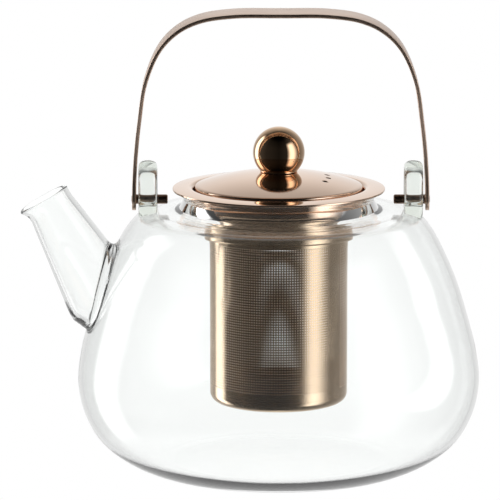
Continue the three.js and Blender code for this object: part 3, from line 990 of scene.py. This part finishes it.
def lid_dome():
    shape = Shape()
    hole = SCREW_RADIUS + 0.3
    top_edge = LID_RADIUS - HEM_TURN
    under_edge = LID_RADIUS - SHEET - 0.2
    vent_columns = [round(degrees / 360 * LID_COLUMNS) for _, degrees in VENTS]
    sides = []
    for edge, depth in ((top_edge, 0), (under_edge, SHEET)):
        wall = Wall(dome_line(hole, edge, depth, 600))
        rows = np.linspace(0, wall.s[-1], int(wall.s[-1] / DOME_ROW) + 1)
        windows = []
        for (distance, _), column in zip(VENTS, vent_columns):
            row = int(np.argmin(abs(rows - (distance - hole))))
            windows.append((row - 2, row + 2, column - 2, column + 2))
        number, found = windowed_grid(shape, wall, rows, LID_COLUMNS, windows)
        sides.append((wall, depth, number, found))
    for i, column in enumerate(vent_columns):
        turn = 2 * math.pi * column / LID_COLUMNS
        distance = VENTS[i][0]
        middle = distance * np.array([math.cos(turn), math.sin(turn)])
        shape.join(*[vent_side(shape, wall, depth, found[i], middle, distance)
                     for wall, depth, _, found in sides])
    hem = rounded([(top_edge, dome_height(top_edge)), (LID_RADIUS, LID_EDGE - 0.25),
                   (LID_RADIUS, LID_EDGE - LID_HEM), (LID_RADIUS - SHEET, LID_EDGE - LID_HEM),
                   (under_edge, dome_height(under_edge, SHEET))], 0.35, 4)
    rings = []
    for (r, z), s in zip(hem[1:-1], lengths(hem)[1:-1]):
        circle = around(r, z, LID_COLUMNS)
        rings.append(shape.ring(circle, turned_grain(circle, 34 + s)))
    top, under = (number for _, _, number, _ in sides)
    shape.loft([list(top[-1]), *rings, list(under[-1])])
    shape.join(list(top[0]), list(under[0]))
    return shape.build("lid_dome_spun", 40)


keep(lid_dome(), "lid", "polished_copper", POLISHED, "lid_dome")

# %% [markdown]
# The parts under the lid are plain steel: a ring bent from strip and spot-welded, which centres the
# lid in the cup, and a screw with a washer. The ball is turned from bar, with a flat where it sits.

# %% Locating ring
skirt_top = float(dome_height(SKIRT_RADIUS, SHEET)) - 0.05
keep(turned("lid_locating_ring", rounded([
    (SKIRT_RADIUS, 115), (SKIRT_RADIUS, skirt_top), (SKIRT_RADIUS - SHEET, skirt_top + 0.2),
    (SKIRT_RADIUS - SHEET, LEDGE_TOP + 0.3), (SKIRT_RADIUS, LEDGE_TOP + 0.3),
    (SKIRT_RADIUS, 114.9)], 0.2), 160, closed=True), "lid", "plain_steel", STEEL, "lid_skirt")

# %% Ball knob
foot_z = LID_EDGE + LID_RISE - 0.05
foot_angle = math.degrees(math.asin((foot_z + 0.5 - KNOB_CENTRE) / KNOB_RADIUS))
foot_radius = KNOB_RADIUS * math.cos(math.radians(foot_angle))
keep(turned("knob_ball_turned", np.vstack([
    (0, 132), (SCREW_RADIUS + 0.1, 131), (SCREW_RADIUS + 0.1, foot_z), (foot_radius - 0.15, foot_z),
    (foot_radius, foot_z + 0.15),
    arc(0, KNOB_CENTRE, KNOB_RADIUS, foot_angle, 90, 60)[:-1], (0, KNOB_CENTRE + KNOB_RADIUS)]),
    128), "lid", "polished_copper", KNOB, "knob_ball")

# %% Washer and screw
washer_top = float(dome_height(5, SHEET)) - 0.02
keep(turned("knob_washer_pressed", rounded([
    (4, washer_top - 0.8), (5, washer_top - 0.8), (5, washer_top), (2.2, washer_top),
    (2.2, washer_top - 0.8), (3.9, washer_top - 0.8)], 0.15), 72, closed=True),
    "lid", "plain_steel", STEEL, "knob_washer")

head_top = washer_top - 0.82
keep(turned("knob_screw_turned", np.vstack([
    (0, head_top - 1.4), (1.3, head_top - 1.4), (1.5, head_top - 2.15),
    arc(0, head_top + 1.9, 4.2, -68, -31, 8), (3.6, head_top), (SCREW_RADIUS, head_top),
    (SCREW_RADIUS, 130.3), (0, 131)]), 72), "lid", "plain_steel", STEEL, "knob_screw")

# %% [markdown]
# ## The bail handle
#
# The handle is a strap of sheet metal bent over a former. It is widest over the top, where the hand
# goes, and narrows down both arms to round ends, each with a pin riveted through it.

# %% Strap
HANDLE_OFFSET = 0.8  # the two loops and the handle stand this far to the right of the axis
PIN_AXIS = 115.1
PIN_RADIUS = 2.0
PIN_INNER_END = 47.5
STRAP_THICKNESS = 1.6
STRAP_EDGE = 0.35  # radius of its four long edges
STRAP_OUTLINE = [
    (62.5, 110), (62.3, 122), (61.6, 134), (60.1, 148), (57.2, 166), (51, 180.2), (43.2, 188),
    (33.8, 192.4), (20, 194.5), (0, 194.7),
]
STRAP_TOP_WIDTH = 21.0
STRAP_END_WIDTH = 9.4
STRAP_WIDE_FROM = 176
STRAP_NARROW_BELOW = 121
STRAP_END = PIN_AXIS - STRAP_END_WIDTH / 2


def strap_half_width(height):
    rise = ease((height - STRAP_NARROW_BELOW) / (STRAP_WIDE_FROM - STRAP_NARROW_BELOW))
    half = (STRAP_END_WIDTH + (STRAP_TOP_WIDTH - STRAP_END_WIDTH) * rise) / 2
    below = min(max(PIN_AXIS - height, 0), STRAP_END_WIDTH / 2)
    return half if below == 0 else math.sqrt((STRAP_END_WIDTH / 2) ** 2 - below**2)


def strap_section(half):
    """The strap's section as (across, depth) points, with four rounded corners."""
    round_in = min(STRAP_EDGE, half * 0.6)
    section = []
    for corner, (side, deep) in enumerate(((1, False), (1, True), (-1, True), (-1, False))):
        depth = STRAP_THICKNESS - STRAP_EDGE if deep else STRAP_EDGE
        for share in (0, 0.3, 0.7, 1):
            turn = (corner - 1 + share) * math.pi / 2
            section.append((side * (half - round_in) + round_in * math.cos(turn),
                            depth + STRAP_EDGE * math.sin(turn)))
    return section


# %% Bending the strap
def handle_strap():
    shape = Shape()
    arm = smooth_line(STRAP_OUTLINE, 400)
    arm = arm[arm[:, 1] > STRAP_END]
    whole = np.vstack([arm, (arm * (-1, 1))[-2::-1]])
    along = lengths(whole)
    total = along[-1]
    ends = STRAP_END_WIDTH / 2 * (1 - np.cos(np.linspace(0, np.pi / 2, 14)))[1:]
    middle = np.linspace(ends[-1], total - ends[-1], 190)
    places = np.concatenate([ends, middle[1:-1], total - ends[::-1]])
    path = np.column_stack([np.interp(places, along, whole[:, i]) for i in (0, 1)])
    step = np.gradient(path, axis=0)
    step /= np.linalg.norm(step, axis=1)[:, None]
    inward = np.column_stack([-step[:, 1], step[:, 0]])
    rings = []
    for point, into, s in zip(path, inward, places):
        section = strap_section(float(strap_half_width(point[1])))
        points = [(point[0] + into[0] * d + HANDLE_OFFSET, y, point[1] + into[1] * d)
                  for y, d in section]
        rings.append(shape.ring(points, [(s, 0, y) for y, _ in section]))
    shape.loft(rings)
    for ring in (rings[0], rings[-1]):
        shape.cap(ring, np.mean([shape.points[i] for i in ring], axis=0))
    return shape.build("handle_strap_bent", 50)


keep(handle_strap(), "handle", "satin_copper", STRAP, "handle_strap")

# %% [markdown]
# Each pin is turned from bar: a bevelled inner end that lies in the glass loop, a shoulder against
# the strap, and a low riveted head outside. It is turned upright here and then laid along X.


# %% Hinge pins
def hinge_pin(name, side, node):
    inner_face = STRAP_OUTLINE[0][0] - STRAP_THICKNESS
    outer_face = STRAP_OUTLINE[0][0] + 0.05
    outline = np.vstack([
        (0, PIN_INNER_END), (PIN_RADIUS - 0.7, PIN_INNER_END),
        arc(PIN_RADIUS - 0.7, PIN_INNER_END + 0.7, 0.7, -90, 0, 6)[1:],
        (PIN_RADIUS, inner_face - 0.3), (PIN_RADIUS + 0.25, inner_face - 0.1),
        (PIN_RADIUS + 0.25, inner_face + 0.05), (1.25, inner_face + 0.05), (1.25, outer_face - 0.2),
        (1.6, outer_face), (1.2, outer_face + 0.18), (0, outer_face + 0.22)])
    pin = turned(name, outline, 64)
    co = np.empty(len(pin.data.vertices) * 3)
    pin.data.vertices.foreach_get("co", co)
    x, y, z = co.reshape(-1, 3).T
    pin.data.vertices.foreach_set("co", np.column_stack([
        side * z + HANDLE_OFFSET * MM, y * side, PIN_AXIS * MM - x]).ravel())
    keep(pin, "handle", "dark_pin", PIN, node)


hinge_pin("hinge_pin_left_turned", -1, "hinge_pin_left")
hinge_pin("hinge_pin_right_turned", 1, "hinge_pin_right")

# %% [markdown]
# ## The glass loops
#
# Each loop is a thick, fire-polished ring standing on the shoulder, seen edge-on from the front.
# It is a ring of rounded sections. Its foot is cut to the pot's shoulder with a solid of the pot's
# outline, because on the real pot the two are melted together along that line.

# %% Loops
LUG_MIDDLE = 55.8
LUG_THICKNESS = 7.8
LUG_WIDTH = 17.0
LUG_TOP = 131.6
LUG_HOLE_WIDTH = 8.0
LUG_HOLE_TOP = 126.7
LUG_HOLE_BOTTOM = 112.6
LUG_BOTTOM = 104.0  # inside the shoulder, and cut away
LUG_FULLNESS = 0.9  # a little squarer than an ellipse, which would be 1


def slot_point(turn, width, bottom, top):
    """A point on an upright slot with round ends."""
    radius = width / 2
    middle = top - radius if math.sin(turn) > 0 else bottom + radius
    return np.array([math.cos(turn) * radius, middle + math.sin(turn) * radius])


def full(value):
    return np.sign(value) * abs(value) ** LUG_FULLNESS


def glass_loop(name, side, node):
    shape = Shape()
    rings = []
    for turn in np.linspace(0, 2 * np.pi, 97)[:-1]:
        inner = slot_point(turn, LUG_HOLE_WIDTH, LUG_HOLE_BOTTOM, LUG_HOLE_TOP)
        outer = slot_point(turn, LUG_WIDTH, LUG_BOTTOM, LUG_TOP)
        middle, half = (inner + outer) / 2, (outer - inner) / 2
        section = []
        for t in np.linspace(0, 2 * np.pi, 24, endpoint=False):
            x = side * LUG_MIDDLE + HANDLE_OFFSET + full(math.sin(t)) * LUG_THICKNESS / 2
            section.append((x, *(middle + half * full(math.cos(t)))))
        rings.append(shape.ring(section))
    shape.loft([*rings, rings[0]])
    loop = shape.build(name, 60)
    trim = turned(name + "_trim", np.vstack([[(0, -1)], outer_line + (0.02, 0.02),
                                             [(0, outer_line[-1][1])]]), 192)
    cut = loop.modifiers.new("trim", "BOOLEAN")
    cut.operation = "DIFFERENCE"
    cut.solver = "EXACT"
    cut.object = trim
    trimmed = bpy.data.meshes.new_from_object(
        loop.evaluated_get(bpy.context.evaluated_depsgraph_get()))
    loop.modifiers.clear()
    loop.data = trimmed
    loop.data.materials.clear()
    bpy.data.objects.remove(trim)
    keep(loop, "pot", "clear_glass", THICK_GLASS, node)
    loop.visible_shadow = False


glass_loop("glass_loop_left", -1, "glass_lug_left")
glass_loop("glass_loop_right", 1, "glass_lug_right")

# %% [markdown]
# ## Floor
#
# The pot stands on a plain white sheet that glows evenly. The sheet is only seen directly, so
# it doesn't light or tint the pieces: their light comes from the surround alone.

# %% Floor
FLOOR_HALF = 20  # metres
FLOOR_DROP = 0.0002  # just below the foot, so that the two faces don't touch

floor_mesh = bpy.data.meshes.new("floor")
floor_mesh.from_pydata([(x * FLOOR_HALF, y * FLOOR_HALF, -FLOOR_DROP)
                        for x, y in ((-1, -1), (1, -1), (1, 1), (-1, 1))], [], [(0, 1, 2, 3)])
floor = bpy.data.objects.new("floor", floor_mesh)
scene.collection.objects.link(floor)
paper = bpy.data.materials.new("white_paper")
paper.use_nodes = True
paper_nodes = Nodes(paper.node_tree)
glow = paper_nodes.node("ShaderNodeEmission", None, (1, 1, 1, 1), 1.0)
paper_nodes.node("ShaderNodeOutputMaterial", None, glow)
floor_mesh.materials.append(paper)
floor.visible_glossy = False
floor.visible_transmission = False
floor.visible_diffuse = False
print("floor:", 2 * FLOOR_HALF, "m wide")

# %% [markdown]
# ## Surround
#
# The room hangs fixed round the pot, so every view sees the same one. Its brightness goes by
# bearing: dark in front, white behind, a narrow strip light at the left and a soft one at the
# right. The table is white and the ceiling dark.
#
# Polished metal and clear glass can't both look right in one plain room, so the kind of light path
# decides what a ray meets. A ray that was never reflected meets a white background. A reflected ray
# meets the room. If it also crossed a glass surface only once or twice, or more than four times, it
# most likely turned round inside the glass, so it meets white cards, which keep the glass clear.
# Four crossings are the way in to the basket and out again: there the table is left out, so the
# underside of the metal inside the pot stays dark.

# %% The room by bearing
# Bearings in degrees: 0 is the front, where the camera stands, and positive is to the right.
ROOM = ((-180, 1.0), (-162, 0.75), (-144, 0.50), (-130, 0.20), (-98, 0.08), (-60, 0.03), (0, 0.012),
        (40, 0.03), (84, 0.14), (94, 0.20), (108, 0.24), (128, 0.34), (144, 0.45), (162, 0.75),
        (180, 1.0))
LIGHTS = ((-133, 0.0), (-128, 2.8), (-108, 2.8), (-102, 0.0), (38, 0.0), (44, 0.5), (49, 1.3),
          (55, 2.1), (62, 2.2), (70, 1.9), (77, 1.25), (84, 0.5), (94, 0.0))
world = bpy.data.worlds.new("white_tent")
world.use_nodes = True
scene.world = world
sky = Nodes(world.node_tree)
parts = sky.node("ShaderNodeSeparateXYZ", None, sky.node("ShaderNodeTexCoord"))
east, north, up = (parts.other(axis) for axis in "XYZ")
bearing = sky.node("ShaderNodeMath", {"operation": "ARCTAN2"}, east, north * -1) * (180 / math.pi)
turn = bearing * (1 / 360) + 0.5


def by_bearing(levels):
    stops = [(degrees / 360 + 0.5, (level, level, level)) for degrees, level in levels]
    return sky.node("ShaderNodeValToRGB", {"stops": stops}, turn)


room = by_bearing(ROOM)
box = by_bearing(LIGHTS)
print("room:", len(ROOM), "levels, lights:", len(LIGHTS))

# %% What each kind of ray meets
TABLE_SHARE = 0.9  # of white, in the table that metal reflects
CARD = 0.8  # brightness of the white cards
GLASS_FILL = 0.7  # how much of the cards a ray inside the glass meets

path = sky.node("ShaderNodeLightPath")
bounced = sky.step(path.other("Glossy Depth"), 0.4, 0.6)
crossings = path.other("Transmission Depth")
many = sky.step(crossings, 4.4, 4.6)
few = sky.step(crossings, 0.4, 0.6) * (1 - sky.step(crossings, 2.4, 2.6))
four = sky.step(crossings, 3.4, 3.6) * (1 - many)

overhead = 1 - sky.step(up, 0.3, 0.95) * 0.6 - sky.step(up, 0.75, 0.97) * 0.36
height = sky.step(up, -0.75, -0.55) * (1 - sky.step(up, 0.50, 0.72))
reflected = room * overhead + box * height * (1 - few)
table = 1 - sky.step(up, -0.66, -0.42)
reflected = reflected + (1 - reflected) * table * (1 - four) * TABLE_SHARE
ahead = sky.step(north * -1, 0.2, 0.7) * sky.step(up, -0.35, -0.1)
high = sky.step(up, 0.2, 0.4)
fill = (few * (1 - ahead * 0.1) * (1 - high * 0.9) + many) * GLASS_FILL
reflected = reflected + (CARD - reflected) * fill
seen = 1.10 - sky.step(up, 0.35, 1.0) * 0.25
level = seen + (reflected - seen) * bounced
background = sky.node("ShaderNodeBackground", None, (1, 1, 1, 1), level)
sky.node("ShaderNodeOutputWorld", None, background)
world.cycles.sampling_method = "NONE"
print("surround:", len(sky.tree.nodes), "nodes")

# %% Light paths
# The rim of the pot and the two walls of the basket need many crossings before a ray gets out.
scene.cycles.max_bounces = 32
scene.cycles.transmission_bounces = 24
scene.cycles.glossy_bounces = 16
print("bounces:", scene.cycles.max_bounces)
